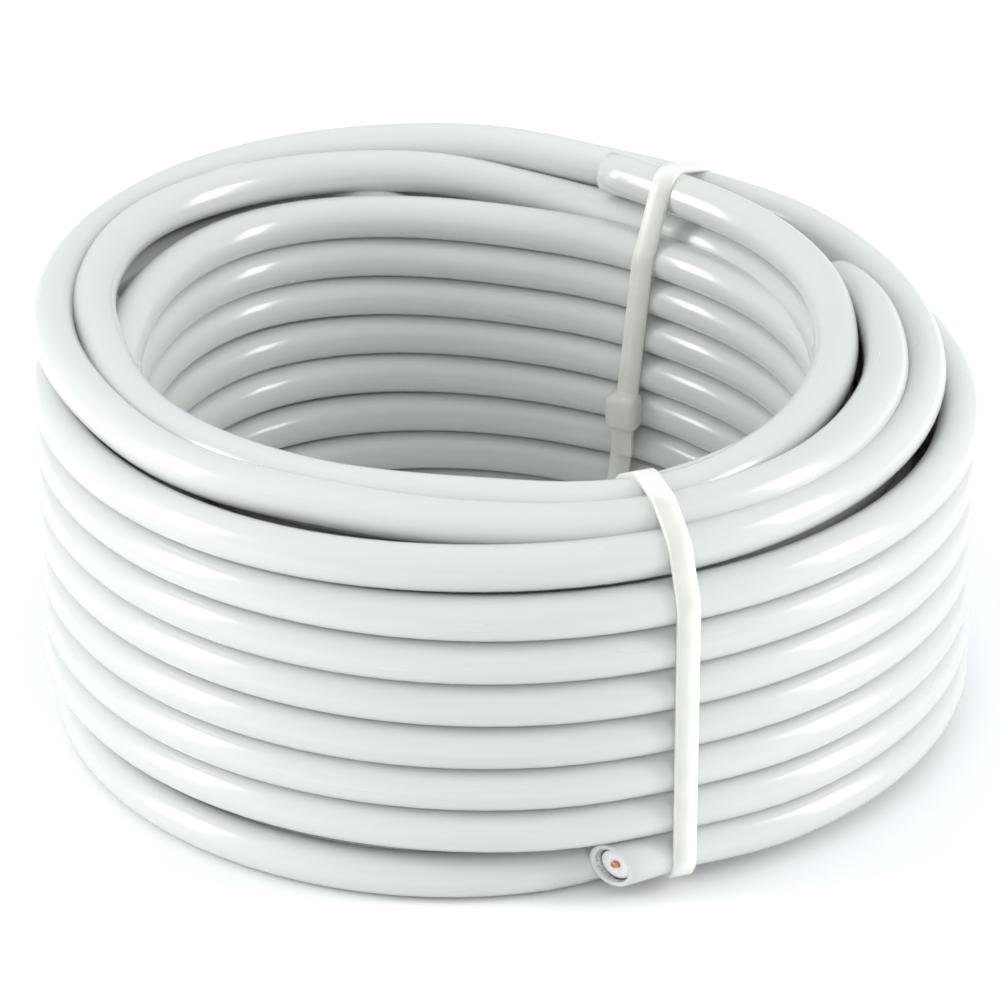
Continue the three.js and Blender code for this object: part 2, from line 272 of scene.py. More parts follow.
class CableSizes(bpy.types.PropertyGroup):
    """Sizes of the cable and of the layers in its cut ends"""
    diameter: FloatProperty(
        name="Diameter", description="Over the jacket", default=0.0069, unit="LENGTH")
    jacket_wall: FloatProperty(
        name="Jacket wall", description="Thickness of the white jacket", default=0.0007, unit="LENGTH")
    dielectric_diameter: FloatProperty(
        name="Dielectric", description="Over the foamed white insulation", default=0.0046,
        unit="LENGTH")
    conductor_diameter: FloatProperty(
        name="Conductor", description="Copper wire in the middle", default=0.0010, unit="LENGTH")
    core_recess: FloatProperty(
        name="Core recess", description="How far the layers lie in from the cut jacket", default=0.0009,
        unit="LENGTH")
    jacket_colour: FloatVectorProperty(
        name="Jacket", description="White PVC", default=(0.640, 0.655, 0.625), size=3, subtype="COLOR")


class WindingSizes(bpy.types.PropertyGroup):
    """Where the layers of the coil lie"""
    outer_radius: FloatProperty(
        name="Outer turns", description="Radius of the middle of the outer turns", default=0.0692,
        unit="LENGTH")
    inner_radius: FloatProperty(
        name="Inner turns", description="Radius of the middle of the inner turns", default=0.05495,
        unit="LENGTH")
    inner_shift: FloatProperty(
        name="Bore shift", description="How far the bore lies left of the coil's axis", default=0.0040,
        unit="LENGTH")
    unevenness: FloatProperty(
        name="Unevenness", description="How far a turn strays from its row", default=0.00018, unit="LENGTH")


class TieSizes(bpy.types.PropertyGroup):
    """Sizes and places of the two cable ties"""
    width: FloatProperty(
        name="Width", description="Of the strap", default=0.0036, unit="LENGTH")
    thickness: FloatProperty(
        name="Thickness", description="Of the strap", default=0.0011, unit="LENGTH")
    front_azimuth: FloatProperty(
        name="Front tie", description="Degrees from the right, seen from above", default=-68.5)
    back_azimuth: FloatProperty(
        name="Back tie", description="Degrees from the right, seen from above", default=61.0)
    colour: FloatVectorProperty(
        name="Nylon", description="Natural nylon", default=(0.86, 0.87, 0.79), size=3, subtype="COLOR")


class StudioSettings(bpy.types.PropertyGroup):
    """Floor, lights and camera"""
    floor_colour: FloatVectorProperty(
        name="Floor", description="Pale floor", default=(0.96, 0.96, 0.96), size=3, subtype="COLOR")
    camera_elevation: FloatProperty(
        name="Camera elevation", description="Degrees above level", default=27.565)
    camera_distance: FloatProperty(
        name="Camera distance", description="From the point it looks at", default=0.838, unit="LENGTH")
    camera_aim_x: FloatProperty(
        name="Aim X", description="Point the camera looks at", default=-0.00032, unit="LENGTH")
    camera_aim_z: FloatProperty(
        name="Aim Z", description="Point the camera looks at", default=0.03055, unit="LENGTH")
    camera_lens: FloatProperty(
        name="Lens", description="Millimetres on a 36 mm sensor", default=192.85)


def smooth_between(stations, travelled):
    """Radius and height at each travelled angle, on a smooth curve through the stations."""
    table = np.array(stations, float)
    at, values = table[:, 0], table[:, 1:]
    slopes = np.gradient(values, at, axis=0)
    spot = np.clip(np.searchsorted(at, travelled, side="right") - 1, 0, len(at) - 2)
    length = (at[spot + 1] - at[spot])[:, None]
    s = ((travelled - at[spot])[:, None]) / length
    return (
        (2 * s**3 - 3 * s**2 + 1) * values[spot]
        + (s**3 - 2 * s**2 + s) * length * slopes[spot]
        + (3 * s**2 - 2 * s**3) * values[spot + 1]
        + (s**3 - s**2) * length * slopes[spot + 1]
    )


def smoothstep(share):
    share = np.clip(share, 0, 1)
    return share * share * (3 - 2 * share)


def turned_from(azimuth, middle):
    """Degrees from the middle azimuth, half a turn at most either way."""
    return (azimuth - middle + FULL_TURN / 2) % FULL_TURN - FULL_TURN / 2


def nearness(azimuth, middle, half):
    """1 at the middle azimuth, falling smoothly to 0 at the half width."""
    return smoothstep(1 - np.abs(turned_from(azimuth, middle)) / half)


def inner_radius_at(azimuth, winding, height):
    """Distance of the inner column from the coil's axis; its circle lies a little to the left."""
    shift = -winding.inner_shift
    along = shift * np.cos(np.radians(azimuth))
    rise = smoothstep((height - FLARE_FOOT) / (FLARE_TOP - FLARE_FOOT))
    lean = FLARE * nearness(azimuth, FLARE_AZIMUTH, FLARE_HALF) * rise
    return along + np.sqrt(winding.inner_radius**2 - shift**2 + along**2) + lean


def outer_radius_at(azimuth, winding, height):
    """Distance of the outer turns from the coil's axis."""
    share = BULGE_FOOT_SHARE + (1 - BULGE_FOOT_SHARE) * height / CROSSING_TURN[-1][2]
    return winding.outer_radius + BULGE * share * nearness(azimuth, BULGE_AZIMUTH, BULGE_HALF)


def inner_height(travelled):
    """Height of the inner column: it falls evenly, with a quicker step once a turn."""
    since = travelled - INNER_FIRST_STEP
    turn = np.floor((since + FULL_TURN / 2) / FULL_TURN)
    past = since - turn * FULL_TURN
    step = smoothstep((past - INNER_STEP_LEAD + INNER_STEP_HALF) / (2 * INNER_STEP_HALF))
    stepped = turn + step - smoothstep((INNER_STEP_HALF - INNER_STEP_LEAD) / (2 * INNER_STEP_HALF))
    turns = INNER_STEP_SHARE * stepped + (1 - INNER_STEP_SHARE) * since / FULL_TURN
    return INNER_FIRST_HEIGHT - INNER_ROW_PITCH * turns


def wound_course(winding):
    """Radius and height of the cable's middle at each step from the top end, and how freely it may settle."""
    middle_start = INNER_COLUMN_END + FLOOR_TURN_SWEEP
    crossing_start = middle_start + FULL_TURN * MIDDLE_TURNS - MIDDLE_SHORTFALL
    outer_start = crossing_start + CROSSING_SWEEP
    end = outer_start + FULL_TURN * OUTER_COLUMN_TURNS
    travelled = np.arange(TOP_END_START, end, TURN_STEP)
    azimuth = TOP_END_AZIMUTH - travelled
    course = np.zeros((len(travelled), 2))
    freedom = np.zeros(len(travelled))

    top = travelled < TOP_TURN_SWEEP
    course[top] = smooth_between(TOP_TURN, travelled[top])

    inner = (travelled >= TOP_TURN_SWEEP) & (travelled < INNER_COLUMN_END)
    course[inner, 1] = inner_height(travelled[inner])
    course[inner, 0] = inner_radius_at(azimuth[inner], winding, course[inner, 1])

    on_floor = (travelled >= INNER_COLUMN_END) & (travelled < middle_start)
    course[on_floor] = smooth_between(FLOOR_TURN, travelled[on_floor] - INNER_COLUMN_END)
    freedom[on_floor] = FLOOR_FREEDOM

    middle = (travelled >= middle_start) & (travelled < crossing_start)
    share = (travelled[middle] - middle_start) / (crossing_start - middle_start)
    first, last = FLOOR_TURN[-1][2], CROSSING_TURN[1][2]
    course[middle, 1] = first + (last - first) * share
    last_turn = smoothstep(1 - MIDDLE_TURNS * (1 - share))
    course[middle, 1] += RISE * last_turn * nearness(azimuth[middle], RISE_AZIMUTH, RISE_HALF)
    inner_wall = inner_radius_at(azimuth[middle], winding, course[middle, 1])
    course[middle, 0] = (inner_wall + winding.outer_radius) / 2
    freedom[middle] = MIDDLE_FREEDOM

    crossing = (travelled >= crossing_start) & (travelled < outer_start)
    course[crossing] = smooth_between(CROSSING_TURN, travelled[crossing] - crossing_start)
    leading_in = travelled[crossing] - crossing_start < LEAD_IN_SWEEP
    freedom[crossing] = np.where(leading_in, LEAD_IN_FREEDOM, 0)

    outer = travelled >= outer_start
    turns = (travelled[outer] - outer_start) / FULL_TURN
    course[outer, 1] = CROSSING_TURN[-1][2] - OUTER_ROW_PITCH * turns
    course[outer, 0] = outer_radius_at(azimuth[outer], winding, course[outer, 1])
    course[:, 0] += STUB_STANDOUT * smoothstep(1 - (end - travelled) / STUB_SWEEP)
    return travelled, azimuth, course, freedom


def settle(course, freedom, diameter):
    """Pushes turns that would lie in each other a diameter apart, the hidden ones furthest."""
    count = len(course)
    turns = -(-count // STEPS_PER_TURN)
    padded = np.full((turns * STEPS_PER_TURN, 2), np.nan)
    free = np.zeros(turns * STEPS_PER_TURN)
    free[:count] = freedom
    free = free.reshape(turns, STEPS_PER_TURN)
    share = free[:, None] / np.maximum(free[:, None] + free[None, :], 1e-6)
    apart = ~np.eye(turns, dtype=bool)[:, :, None]
    for _ in range(SETTLE_ROUNDS):
        padded[:count] = course
        rows = padded.reshape(turns, STEPS_PER_TURN, 2)
        gap = rows[:, None] - rows[None, :]
        distance = np.linalg.norm(gap, axis=-1)
        lack = np.where(apart & (distance < diameter), diameter - distance, 0)
        push = gap / np.maximum(distance, 1e-6)[..., None] * (lack * share)[..., None]
        moved = (rows + SETTLE_PUSH * np.nansum(push, axis=1)).reshape(-1, 2)[:count]
        smoothed = moved.copy()
        bend = moved[2:] + moved[:-2] - 2 * moved[1:-1]
        smoothed[1:-1] += SETTLE_SMOOTHING * freedom[1:-1, None] * bend
        above_floor = np.maximum(smoothed[:, 1], FLOOR_ROW)
        smoothed[:, 1] = np.where(freedom > 0, above_floor, smoothed[:, 1])
        course = smoothed
    return course


def squeeze(course, azimuth, ties):
    """Lifts the lowest turns over the straps that pass under them."""
    for middle in (ties.front_azimuth, ties.back_azimuth):
        share = np.clip(1 - course[:, 1] / TIE_LIFT_TOP, 0, 1)
        course[:, 1] += TIE_LIFT * share * nearness(azimuth, middle, TIE_REACH)
    return course


def coil_axis_y():
    """The coil's axis, found from the right and the back of its solid, which are round."""
    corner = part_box("cable_coil")[1]
    return corner.y - corner.x


def cable_route(context):
    """Points along the middle of the cable, from the top end to the bottom end."""
    winding, cable = context.scene.coil_winding, context.scene.coil_cable
    travelled, azimuth, course, freedom = wound_course(winding)
    course = squeeze(settle(course, freedom, cable.diameter), azimuth, context.scene.coil_ties)
    for i, angle in enumerate(travelled):
        spot = Vector((angle * SWAY_PER_DEGREE, SWAY_ROW, 0))
        course[i, 0] += winding.unevenness * noise.noise(spot)
        if course[i, 1] > 2 * FLOOR_ROW:
            course[i, 1] += winding.unevenness * noise.noise(spot + Vector((0, 0, SWAY_LIFT_ROW)))
    a = np.radians(azimuth)
    points = np.stack([course[:, 0] * np.cos(a), course[:, 0] * np.sin(a), course[:, 1]], axis=1)
    points[:, 1] += coil_axis_y()
    return points


def directions(points):
    """Unit tangent, outward and upward directions at each point of a route."""
    along = np.gradient(points, axis=0)
    along /= np.linalg.norm(along, axis=1)[:, None]
    up = np.tile(np.array([0.0, 0.0, 1.0]), (len(points), 1))
    out = np.cross(up, along)
    out /= np.linalg.norm(out, axis=1)[:, None]
    up = np.cross(along, out)
    return along, out, up


def mesh_piece(name, vertices, faces, smooth=True):
    mesh = bpy.data.meshes.new(name)
    mesh.from_pydata([tuple(v) for v in vertices], [], faces)
    mesh.update()
    if smooth:
        mesh.polygons.foreach_set("use_smooth", [True] * len(mesh.polygons))
    piece = bpy.data.objects.new(name, mesh)
    bpy.context.scene.collection.objects.link(piece)
    return piece


class MaterialNodes:
    """Short calls for building one material's nodes."""

    def __init__(self, name):
        self.material = bpy.data.materials.new(name)
        self.material.use_nodes = True
        self.tree = self.material.node_tree
        self.shader = self.tree.nodes["Principled BSDF"]

    def node(self, kind, **settings):
        made = self.tree.nodes.new(kind)
        for key, value in settings.items():
            if key.startswith("in_"):
                made.inputs[key[3:].replace("_", " ")].default_value = value
            else:
                setattr(made, key, value)
        return made

    def link(self, output, target):
        self.tree.links.new(output, target)

    def ramp(self, source, stops):
        made = self.node("ShaderNodeValToRGB")
        elements = made.color_ramp.elements
        while len(elements) < len(stops):
            elements.new(0.5)
        for element, (position, value) in zip(elements, stops):
            element.position = position
            element.color = (value, value, value, 1) if isinstance(value, (int, float)) else (*value, 1)
        self.link(source, made.inputs["Fac"])
        return made.outputs["Color"]

    def noise(self, vector, scale, detail=2.0, roughness=0.5):
        made = self.node("ShaderNodeTexNoise", in_Scale=scale, in_Detail=detail, in_Roughness=roughness)
        self.link(vector, made.inputs["Vector"])
        return made.outputs["Fac"]

    def stretched(self, vector, scale):
        made = self.node("ShaderNodeMapping")
        made.inputs["Scale"].default_value = scale
        self.link(vector, made.inputs["Vector"])
        return made.outputs["Vector"]

    def bump(self, height, strength, distance, below=None):
        made = self.node("ShaderNodeBump", in_Strength=strength, in_Distance=distance)
        self.link(height, made.inputs["Height"])
        if below is not None:
            self.link(below, made.inputs["Normal"])
        return made.outputs["Normal"]

    def mix(self, factor, first, second):
        made = self.node("ShaderNodeMix", data_type="RGBA")
        self.link(factor, made.inputs["Factor"])
        for value, socket in ((first, made.inputs["A"]), (second, made.inputs["B"])):
            if isinstance(value, tuple):
                socket.default_value = (*value, 1)
            else:
                self.link(value, socket)
        return made.outputs["Result"]


def jacket_material(colour):
    """Glossy white PVC: faint draw marks along the cable, soft waviness and a few dark specks."""
    m = MaterialNodes("white_pvc_jacket")
    lay = m.node("ShaderNodeUVMap", uv_map="lay").outputs["UV"]
    place = m.node("ShaderNodeTexCoord").outputs["Object"]
    tone = m.noise(m.stretched(lay, (9, 60, 1)), 1.0, 3.0)
    pale = tuple(min(1, c * 1.03) for c in colour)
    deep = tuple(c * 0.96 for c in colour)
    base = m.ramp(tone, ((0.3, deep), (0.7, pale)))
    cells = m.node("ShaderNodeTexVoronoi", in_Scale=95.0)
    m.link(place, cells.inputs["Vector"])
    dot = m.ramp(cells.outputs["Distance"], ((0.018, 1.0), (0.03, 0.0)))
    chosen = m.ramp(cells.outputs["Color"], ((0.80, 0.0), (0.82, 0.75)))
    speck = m.node("ShaderNodeMath", operation="MULTIPLY")
    m.link(dot, speck.inputs[0])
    m.link(chosen, speck.inputs[1])
    m.link(m.mix(speck.outputs["Value"], base, (0.10, 0.10, 0.09)), m.shader.inputs["Base Color"])
    sheen = m.noise(m.stretched(lay, (25, 220, 1)), 1.0, 4.0)
    m.link(m.ramp(sheen, ((0.25, 0.18), (0.75, 0.30))), m.shader.inputs["Roughness"])
    waves = m.bump(m.noise(m.stretched(lay, (35, 90, 1)), 1.0, 2.0), 0.35, 0.0004)
    marks = m.bump(m.noise(m.stretched(lay, (12, 1500, 1)), 1.0, 3.0), 0.12, 0.00008, waves)
    m.link(marks, m.shader.inputs["Normal"])
    m.shader.inputs["Coat Weight"].default_value = 0.5
    m.shader.inputs["Coat Roughness"].default_value = 0.12
    return m.material


def nylon_material(colour):
    """Natural nylon: milky, a little yellow-green, with fine moulding grain."""
    m = MaterialNodes("natural_nylon")
    place = m.node("ShaderNodeTexCoord").outputs["Object"]
    tone = m.noise(place, 260.0, 3.0)
    deep = tuple(c * 0.95 for c in colour)
    m.link(m.ramp(tone, ((0.3, deep), (0.7, colour))), m.shader.inputs["Base Color"])
    m.link(m.ramp(m.noise(place, 700.0, 2.0), ((0.3, 0.28), (0.7, 0.42))), m.shader.inputs["Roughness"])
    m.link(m.bump(m.noise(place, 1800.0, 3.0), 0.15, 0.0001), m.shader.inputs["Normal"])
    m.shader.inputs["Transmission Weight"].default_value = 0.25
    m.shader.inputs["IOR"].default_value = 1.5
    return m.material


def foam_material():
    """Foamed white polyethylene with fine pores."""
    m = MaterialNodes("foamed_dielectric")
    place = m.node("ShaderNodeTexCoord").outputs["Object"]
    pores = m.noise(place, 5200.0, 4.0, 0.65)
    foam = m.ramp(pores, ((0.3, (0.80, 0.80, 0.79)), (0.6, (0.92, 0.92, 0.91))))
    m.link(foam, m.shader.inputs["Base Color"])
    m.link(m.ramp(pores, ((0.2, 0.75), (0.8, 0.5))), m.shader.inputs["Roughness"])
    m.link(m.bump(pores, 0.5, 0.00012), m.shader.inputs["Normal"])
    return m.material


def braid_material():
    """Dull foil and braid wires, seen at the cut."""
    m = MaterialNodes("foil_and_braid")
    place = m.node("ShaderNodeTexCoord").outputs["Object"]
    grain = m.noise(place, 3800.0, 3.0, 0.6)
    wires = m.ramp(grain, ((0.35, (0.30, 0.32, 0.30)), (0.6, (0.62, 0.64, 0.62))))
    m.link(wires, m.shader.inputs["Base Color"])
    m.link(m.ramp(grain, ((0.3, 0.55), (0.7, 0.32))), m.shader.inputs["Roughness"])
    m.link(m.bump(grain, 0.6, 0.0001), m.shader.inputs["Normal"])
    m.shader.inputs["Metallic"].default_value = 0.85
    return m.material


def copper_material():
    """Bare copper, cut bright, with drawn scratches."""
    m = MaterialNodes("bare_copper")
    place = m.node("ShaderNodeTexCoord").outputs["Object"]
    scratches = m.noise(m.stretched(place, (900, 900, 6000)), 1.0, 3.0)
    copper = m.ramp(scratches, ((0.3, (0.62, 0.22, 0.11)), (0.7, (0.86, 0.40, 0.24))))
    m.link(copper, m.shader.inputs["Base Color"])
    m.link(m.ramp(scratches, ((0.3, 0.28), (0.7, 0.42))), m.shader.inputs["Roughness"])
    m.link(m.bump(scratches, 0.2, 0.00005), m.shader.inputs["Normal"])
    m.shader.inputs["Metallic"].default_value = 1.0
    return m.material


def floor_material(colour):
    """Matt pale floor with the faintest unevenness."""
    m = MaterialNodes("pale_floor")
    place = m.node("ShaderNodeTexCoord").outputs["Object"]
    tone = m.noise(place, 3.0, 2.0)
    shade = tuple(c * 0.995 for c in colour)
    m.link(m.ramp(tone, ((0.2, shade), (0.8, colour))), m.shader.inputs["Base Color"])
    m.shader.inputs["Roughness"].default_value = 0.9
    m.shader.inputs["Specular IOR Level"].default_value = 0.1
    return m.material


def ring_faces(start, following, sides):
    """Quads between two rings of vertices."""
    return [
        (start + k, start + (k + 1) % sides, following + (k + 1) % sides, following + k)
        for k in range(sides)
    ]


class CutShape:
    """How one end of the cable is cut: whether it is the top end, and how much the cut slants."""

    def __init__(self, at_start, slant):
        self.at_start = at_start
        self.slant = slant


TOP_CUT = CutShape(True, 0.02)
BOTTOM_CUT = CutShape(False, 0.60)


def end_frame(points, at_start):
    """Middle of the cut face, the direction into the cable, and the outward and upward directions."""
    along, out, up = directions(points)
    spot = 0 if at_start else -1
    inwards = along[spot] if at_start else -along[spot]
    return points[spot], inwards, out[spot], up[spot]


def hollow_end(points, cable, cut):
    """Rings of vertices from the cut's outer rim, over the jacket's edge and down the hole in the jacket."""
    middle, inwards, out, up = end_frame(points, cut.at_start)
    radius = cable.diameter / 2
    bore = radius - cable.jacket_wall
    rounding = EDGE_ROUNDING
    depth = cable.core_recess + HOLLOW_BEHIND_CORE
    profile = (
        (radius - rounding * 0.3, rounding * 0.5),
        (radius - rounding, 0),
        (bore + rounding, 0),
        (bore, rounding),
        (bore, depth),
        (bore * 0.5, depth),
    )
    angles = np.arange(CABLE_SIDES) * 2 * math.pi / CABLE_SIDES
    rings = []
    for ring_radius, ring_depth in profile:
        lean = cut.slant * np.cos(angles) * ring_radius * max(0, 1 - ring_depth / depth)
        ring = (
            middle
            + inwards * (ring_depth + lean)[:, None]
            + out * (ring_radius * np.cos(angles))[:, None]
            + up * (ring_radius * np.sin(angles))[:, None]
        )
        rings.append(ring)
    return rings, middle + inwards * depth


def cable_mesh(points, cable):
    """The jacket of the whole cable, open at both ends down to its core."""
    radius = cable.diameter / 2
    along, out, up = directions(points)
    angles = np.arange(CABLE_SIDES) * 2 * math.pi / CABLE_SIDES
    start_rings, start_floor = hollow_end(points, cable, TOP_CUT)
    end_rings, end_floor = hollow_end(points, cable, BOTTOM_CUT)
    body = []
    for i in range(1, len(points) - 1):
        body.append(
            points[i]
            + out[i] * (radius * np.cos(angles))[:, None]
            + up[i] * (radius * np.sin(angles))[:, None]
        )
    rings = start_rings[::-1] + body + end_rings
    vertices = np.concatenate(rings + [start_floor[None], end_floor[None]])
    faces = []
    for r in range(len(rings) - 1):
        faces += ring_faces(r * CABLE_SIDES, (r + 1) * CABLE_SIDES, CABLE_SIDES)
    last = (len(rings) - 1) * CABLE_SIDES
    hub = len(rings) * CABLE_SIDES
    for k in range(CABLE_SIDES):
        following = (k + 1) % CABLE_SIDES
        faces.append((hub, following, k))
        faces.append((hub + 1, last + k, last + following))
    faces = [face[::-1] for face in faces]
    lengths = np.concatenate([[0], np.cumsum(np.linalg.norm(np.diff(points, axis=0), axis=1))])
    ring_length = np.concatenate([
        np.zeros(len(start_rings)), lengths[1:-1], np.full(len(end_rings), lengths[-1]),
    ])
    return vertices, faces, ring_length, lengths[-1]


def lay_map(mesh, ring_length, girth):
    """UV map in metres: along the cable, and round it."""
    layer = mesh.uv_layers.new(name="lay")
    loops = np.zeros(len(mesh.loops), int)
    mesh.loops.foreach_get("vertex_index", loops)
    ring = np.minimum(loops // CABLE_SIDES, len(ring_length) - 1)
    side = loops % CABLE_SIDES
    u = ring_length[ring]
    v = side / CABLE_SIDES * girth
    starts = np.zeros(len(mesh.polygons), int)
    totals = np.zeros(len(mesh.polygons), int)
    mesh.polygons.foreach_get("loop_start", starts)
    mesh.polygons.foreach_get("loop_total", totals)
    for start, total in zip(starts, totals):
        part = v[start:start + total]
        if part.max() - part.min() > girth / 2:
            v[start:start + total] = np.where(part < girth / 2, part + girth, part)
    layer.data.foreach_set("uv", np.stack([u, v], axis=1).ravel())


class COIL_OT_cable(bpy.types.Operator):
    """Wind the cable: every turn from the top end to the bottom end"""
    bl_idname = "coil.wind_cable"
    bl_label = "Wind cable"

    def execute(self, context):
        cable = context.scene.coil_cable
        points = cable_route(context)
        vertices, faces, ring_length, length = cable_mesh(points, cable)
        piece = mesh_piece("coax_cable", vertices, faces)
        lay_map(piece.data, ring_length, math.pi * cable.diameter)
        piece.data.materials.append(jacket_material(tuple(cable.jacket_colour)))
        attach(piece, BODY)
        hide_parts("cable_coil")
        return {"FINISHED"}


def turned_piece(name, profile, sides, place):
    """A round piece from a profile of (radius, depth), closed at both ends, put in place by a matrix."""
    bm = bmesh.new()
    rings = []
    for radius, depth in profile:
        if radius == 0:
            rings.append([bm.verts.new((0, 0, depth))])
            continue
        rings.append([
            bm.verts.new((radius * math.cos(a), radius * math.sin(a), depth))
            for a in (2 * math.pi * k / sides for k in range(sides))
        ])
    for ring, following in zip(rings, rings[1:]):
        for k in range(sides):
            corners = [ring[k % len(ring)], ring[(k + 1) % len(ring)]]
            corners += [following[(k + 1) % len(following)], following[k % len(following)]]
            corners = list(dict.fromkeys(corners))
            if len(corners) > 2:
                bm.faces.new(corners)
    bmesh.ops.recalc_face_normals(bm, faces=bm.faces)
    bm.transform(place)
    mesh = bpy.data.meshes.new(name)
    bm.to_mesh(mesh)
    bm.free()
    mesh.polygons.foreach_set("use_smooth", [True] * len(mesh.polygons))
    piece = bpy.data.objects.new(name, mesh)
    bpy.context.scene.collection.objects.link(piece)
    return piece


def placed(piece, material, node=None):
    piece.data.materials.append(material)
    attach(piece, BODY)
    if node:
        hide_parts(node)
    return piece


def core_place(points, cut):
    """Places a piece of the core in a cut end, and slants it as the jacket is cut."""
    middle, inwards, out, up = end_frame(points, cut.at_start)
    basis = Matrix((out, up, inwards)).transposed()
    lean = Matrix(((1, 0, 0), (0, 1, 0), (cut.slant, 0, 1)))
    return Matrix.Translation(middle) @ (basis @ lean).to_4x4()


def cut_core(points, cable, cut, prefix, nodes):
    """Foil and braid, dielectric and conductor in one cut end."""
    place = core_place(points, cut)
    recess = cable.core_recess
    deep = recess + CORE_LENGTH
    bore = cable.diameter / 2 - cable.jacket_wall
    foam = cable.dielectric_diameter / 2
    wire = cable.conductor_diameter / 2
    shield_profile = (
        (bore - BRAID_CLEARANCE, deep),
        (bore - BRAID_CLEARANCE, recess * BRAID_OUTER_SHARE),
        (bore - BRAID_TIP_INSET, recess * BRAID_RECESS_SHARE),
        (bore - BRAID_INSET, recess * BRAID_INNER_SHARE),
        (bore - BRAID_INSET, deep),
        (bore - BRAID_CLEARANCE, deep))
    shield = turned_piece(prefix + "shield", shield_profile, ROUND_SIDES, place)
    foam_profile = (
        (0, deep),
        (foam, deep),
        (foam, recess + EDGE_ROUNDING),
        (foam - EDGE_ROUNDING, recess),
        (wire + WIRE_HOLE_LIP, recess + WIRE_HOLE_LIP_DEPTH),
        (wire + WIRE_HOLE_CLEARANCE, recess + WIRE_HOLE_DEPTH),
        (0, recess + WIRE_HOLE_DEPTH))
    dielectric = turned_piece(prefix + "dielectric", foam_profile, ROUND_SIDES, place)
    wire_profile = (
        (0, recess + WIRE_ROOT),
        (wire, recess + WIRE_ROOT),
        (wire, recess - WIRE_STANDOUT),
        (wire - WIRE_HOLE_CLEARANCE, recess - WIRE_TIP_STANDOUT),
        (0, recess - WIRE_MIDDLE_STANDOUT))
    conductor = turned_piece(prefix + "conductor", wire_profile, CABLE_SIDES, place)
    placed(shield, braid_material(), nodes and "shield")
    placed(dielectric, foam_material(), nodes and "dielectric")
    placed(conductor, copper_material(), nodes and "conductor")


class COIL_OT_cut_ends(bpy.types.Operator):
    """Show the foil and braid, the dielectric and the conductor in both cut ends"""
    bl_idname = "coil.cut_ends"
    bl_label = "Cut ends"

    def execute(self, context):
        points = cable_route(context)
        cable = context.scene.coil_cable
        cut_core(points, cable, BOTTOM_CUT, "bottom_end_", True)
        cut_core(points, cable, TOP_CUT, "top_end_", False)
        return {"FINISHED"}


def section_at(points, azimuth, axis_y):
    """Where the turns lie at an azimuth: radius from the axis and height of each."""
    a = np.degrees(np.arctan2(points[:, 1] - axis_y, points[:, 0]))
    off = turned_from(a, azimuth)
    radius = np.hypot(points[:, 0], points[:, 1] - axis_y)
    spots = []
    for i in range(len(points) - 1):
        if off[i] >= 0 > off[i + 1] and off[i] - off[i + 1] < 90:
            share = off[i] / (off[i] - off[i + 1])
            r = radius[i] + share * (radius[i + 1] - radius[i])
            z = points[i, 2] + share * (points[i + 1, 2] - points[i, 2])
            spots.append((r, z))
    return spots


def hull_of(spots):
    """Outermost spots, anticlockwise in radius and height."""
    spots = sorted(set(spots))

    def half(run):
        kept = []
        for p in run:
            while len(kept) > 1:
                (ax, ay), (bx, by) = kept[-2], kept[-1]
                if (bx - ax) * (p[1] - ay) - (by - ay) * (p[0] - ax) > 0:
                    break
                kept.pop()
            kept.append(p)
        return kept[:-1]

    return half(spots) + half(spots[::-1])


def pulled_round(spots, reach):
    """The closed line of a strap pulled round the turns: straight between them, round over each."""
    hull = hull_of(spots)
    line = []
    for i, (x, y) in enumerate(hull):
        before, after = hull[i - 1], hull[(i + 1) % len(hull)]
        enter = math.atan2(-(x - before[0]), y - before[1])
        leave = math.atan2(-(after[0] - x), after[1] - y)
        turn = (leave - enter) % (2 * math.pi)
        steps = max(1, round(math.degrees(turn) / STRAP_ARC_STEP))
        for k in range(steps + 1):
            a = enter + turn * k / steps
            line.append((x + reach * math.cos(a), y + reach * math.sin(a)))
    return line


def even_line(line, step):
    """The same closed line with points an even step apart."""
    corners = np.array(line + line[:1])
    lengths = np.concatenate([[0], np.cumsum(np.linalg.norm(np.diff(corners, axis=0), axis=1))])
    count = int(lengths[-1] / step)
    at = np.arange(count) / count * lengths[-1]
    return np.stack([np.interp(at, lengths, corners[:, 0]), np.interp(at, lengths, corners[:, 1])], axis=1)


def strap_mesh(name, line, azimuths, axis_y, width, thickness):
    """A flat strap swept along a closed line of radius and height, at an azimuth for each point."""
    following = np.roll(line, -1, axis=0)
    before = np.roll(line, 1, axis=0)
    tangent = following - before
    tangent /= np.linalg.norm(tangent, axis=1)[:, None]
    outward = np.stack([tangent[:, 1], -tangent[:, 0]], axis=1)
    edge = thickness * STRAP_EDGE_SHARE
    section = (
        (-width / 2, edge), (-width / 2 + edge, 0), (width / 2 - edge, 0), (width / 2, edge),
        (width / 2, thickness - edge), (width / 2 - edge, thickness),
        (-width / 2 + edge, thickness), (-width / 2, thickness - edge))
    vertices = []
    for spot, out, azimuth in zip(line, outward, azimuths):
        a = math.radians(azimuth)
        radial = np.array([math.cos(a), math.sin(a), 0])
        side = np.array([-math.sin(a), math.cos(a), 0])
        for across, raised in section:
            at = spot + out * raised
            vertices.append(radial * at[0] + side * across + np.array([0, axis_y, at[1]]))
    faces = []
    sides = len(section)
    for i in range(len(line)):
        faces += ring_faces(i * sides, ((i + 1) % len(line)) * sides, sides)
    return mesh_piece(name, vertices, faces)


